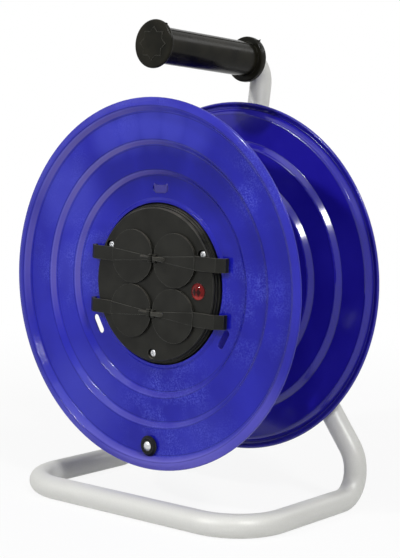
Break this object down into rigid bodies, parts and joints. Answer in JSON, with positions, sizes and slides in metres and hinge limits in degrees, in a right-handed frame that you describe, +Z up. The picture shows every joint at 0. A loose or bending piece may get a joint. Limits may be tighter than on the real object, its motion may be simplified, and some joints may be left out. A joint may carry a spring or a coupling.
{
  "type": "metal cable reel",
  "caption": "Empty steel cable drum with lidded sockets and a reset button in its face, turning on a bent tube stand with a carrying grip.",
  "frame": {"origin": "on the floor under the middle of the reel's depth, on the drum's centre plane", "axes": "+X to the right seen from the socket side, +Y from the socket side to the back along the drum's axle, +Z up"},
  "size_m": [0.32, 0.2007, 0.4213],
  "materials": {
    "drum_paint": "gloss powder coat, dark blue",
    "stand_tube": "satin light grey coat",
    "black_plastic": "moulded, semi-gloss",
    "insert_plastic": "moulded, fine texture",
    "lid_plastic": "moulded, fine texture",
    "black_rubber": "matt",
    "zinc_steel": "bright zinc plate",
    "brass_contact": "nickel-washed spring strip",
    "red_lens": "clear red, glossy"
  },
  "bodies": {
    "stand": {"frame_tube": "stand_tube", "grip": "black_plastic", "hub_plate": "stand_tube", "axle": "zinc_steel", "axle_washer": "zinc_steel", "axle_nut": "zinc_steel"},
    "drum": {"front_flange": "drum_paint", "rear_flange": "drum_paint", "barrel": "drum_paint", "cord_grommet": "black_rubber", "bearing_bush": "black_plastic", "bush_ring": "black_plastic", "socket_insert": "insert_plastic", "insert_carrier": "insert_plastic", "insert_screw_1": "zinc_steel", "insert_screw_2": "zinc_steel", "insert_screw_3": "zinc_steel", "earth_contacts": "brass_contact", "knob_seat": "black_plastic", "knob_screw": "zinc_steel", "knob_nut": "zinc_steel"},
    "lid_upper_left": {"lid_upper_left": "lid_plastic"},
    "lid_upper_right": {"lid_upper_right": "lid_plastic"},
    "lid_lower_left": {"lid_lower_left": "lid_plastic"},
    "lid_lower_right": {"lid_lower_right": "lid_plastic"},
    "reset_button": {"reset_button": "red_lens"}
  },
  "joints": [
    {"name": "drum_spin", "type": "hinge", "parent": "stand", "child": "drum", "pos_m": [0, 0.03604, 0.1963], "axis": [0, 1, 0], "continuous": true},
    {"name": "lid_upper_left_hinge", "type": "hinge", "parent": "drum", "child": "lid_upper_left", "pos_m": [-0.00208, -0.05916, 0.2191], "axis": [-0.0227, 0, -0.9997], "range_deg": [-90, 0], "stiffness_Nm_per_rad": 0.003, "springref_deg": 20.05},
    {"name": "lid_upper_right_hinge", "type": "hinge", "parent": "drum", "child": "lid_upper_right", "pos_m": [0.00312, -0.05916, 0.21899], "axis": [-0.0227, 0, -0.9997], "range_deg": [0, 90], "stiffness_Nm_per_rad": 0.003, "springref_deg": -20.05},
    {"name": "lid_lower_left_hinge", "type": "hinge", "parent": "drum", "child": "lid_lower_left", "pos_m": [-0.00316, -0.05916, 0.17162], "axis": [-0.0227, 0, -0.9997], "range_deg": [-90, 0], "stiffness_Nm_per_rad": 0.003, "springref_deg": 20.05},
    {"name": "lid_lower_right_hinge", "type": "hinge", "parent": "drum", "child": "lid_lower_right", "pos_m": [0.00204, -0.05916, 0.1715], "axis": [-0.0227, 0, -0.9997], "range_deg": [0, 90], "stiffness_Nm_per_rad": 0.003, "springref_deg": -20.05},
    {"name": "reset_push", "type": "slide", "parent": "drum", "child": "reset_button", "axis": [0, 1, 0], "range_m": [0, 0.0015], "stiffness_N_per_m": 400, "springref_m": -0.001}
  ]
}
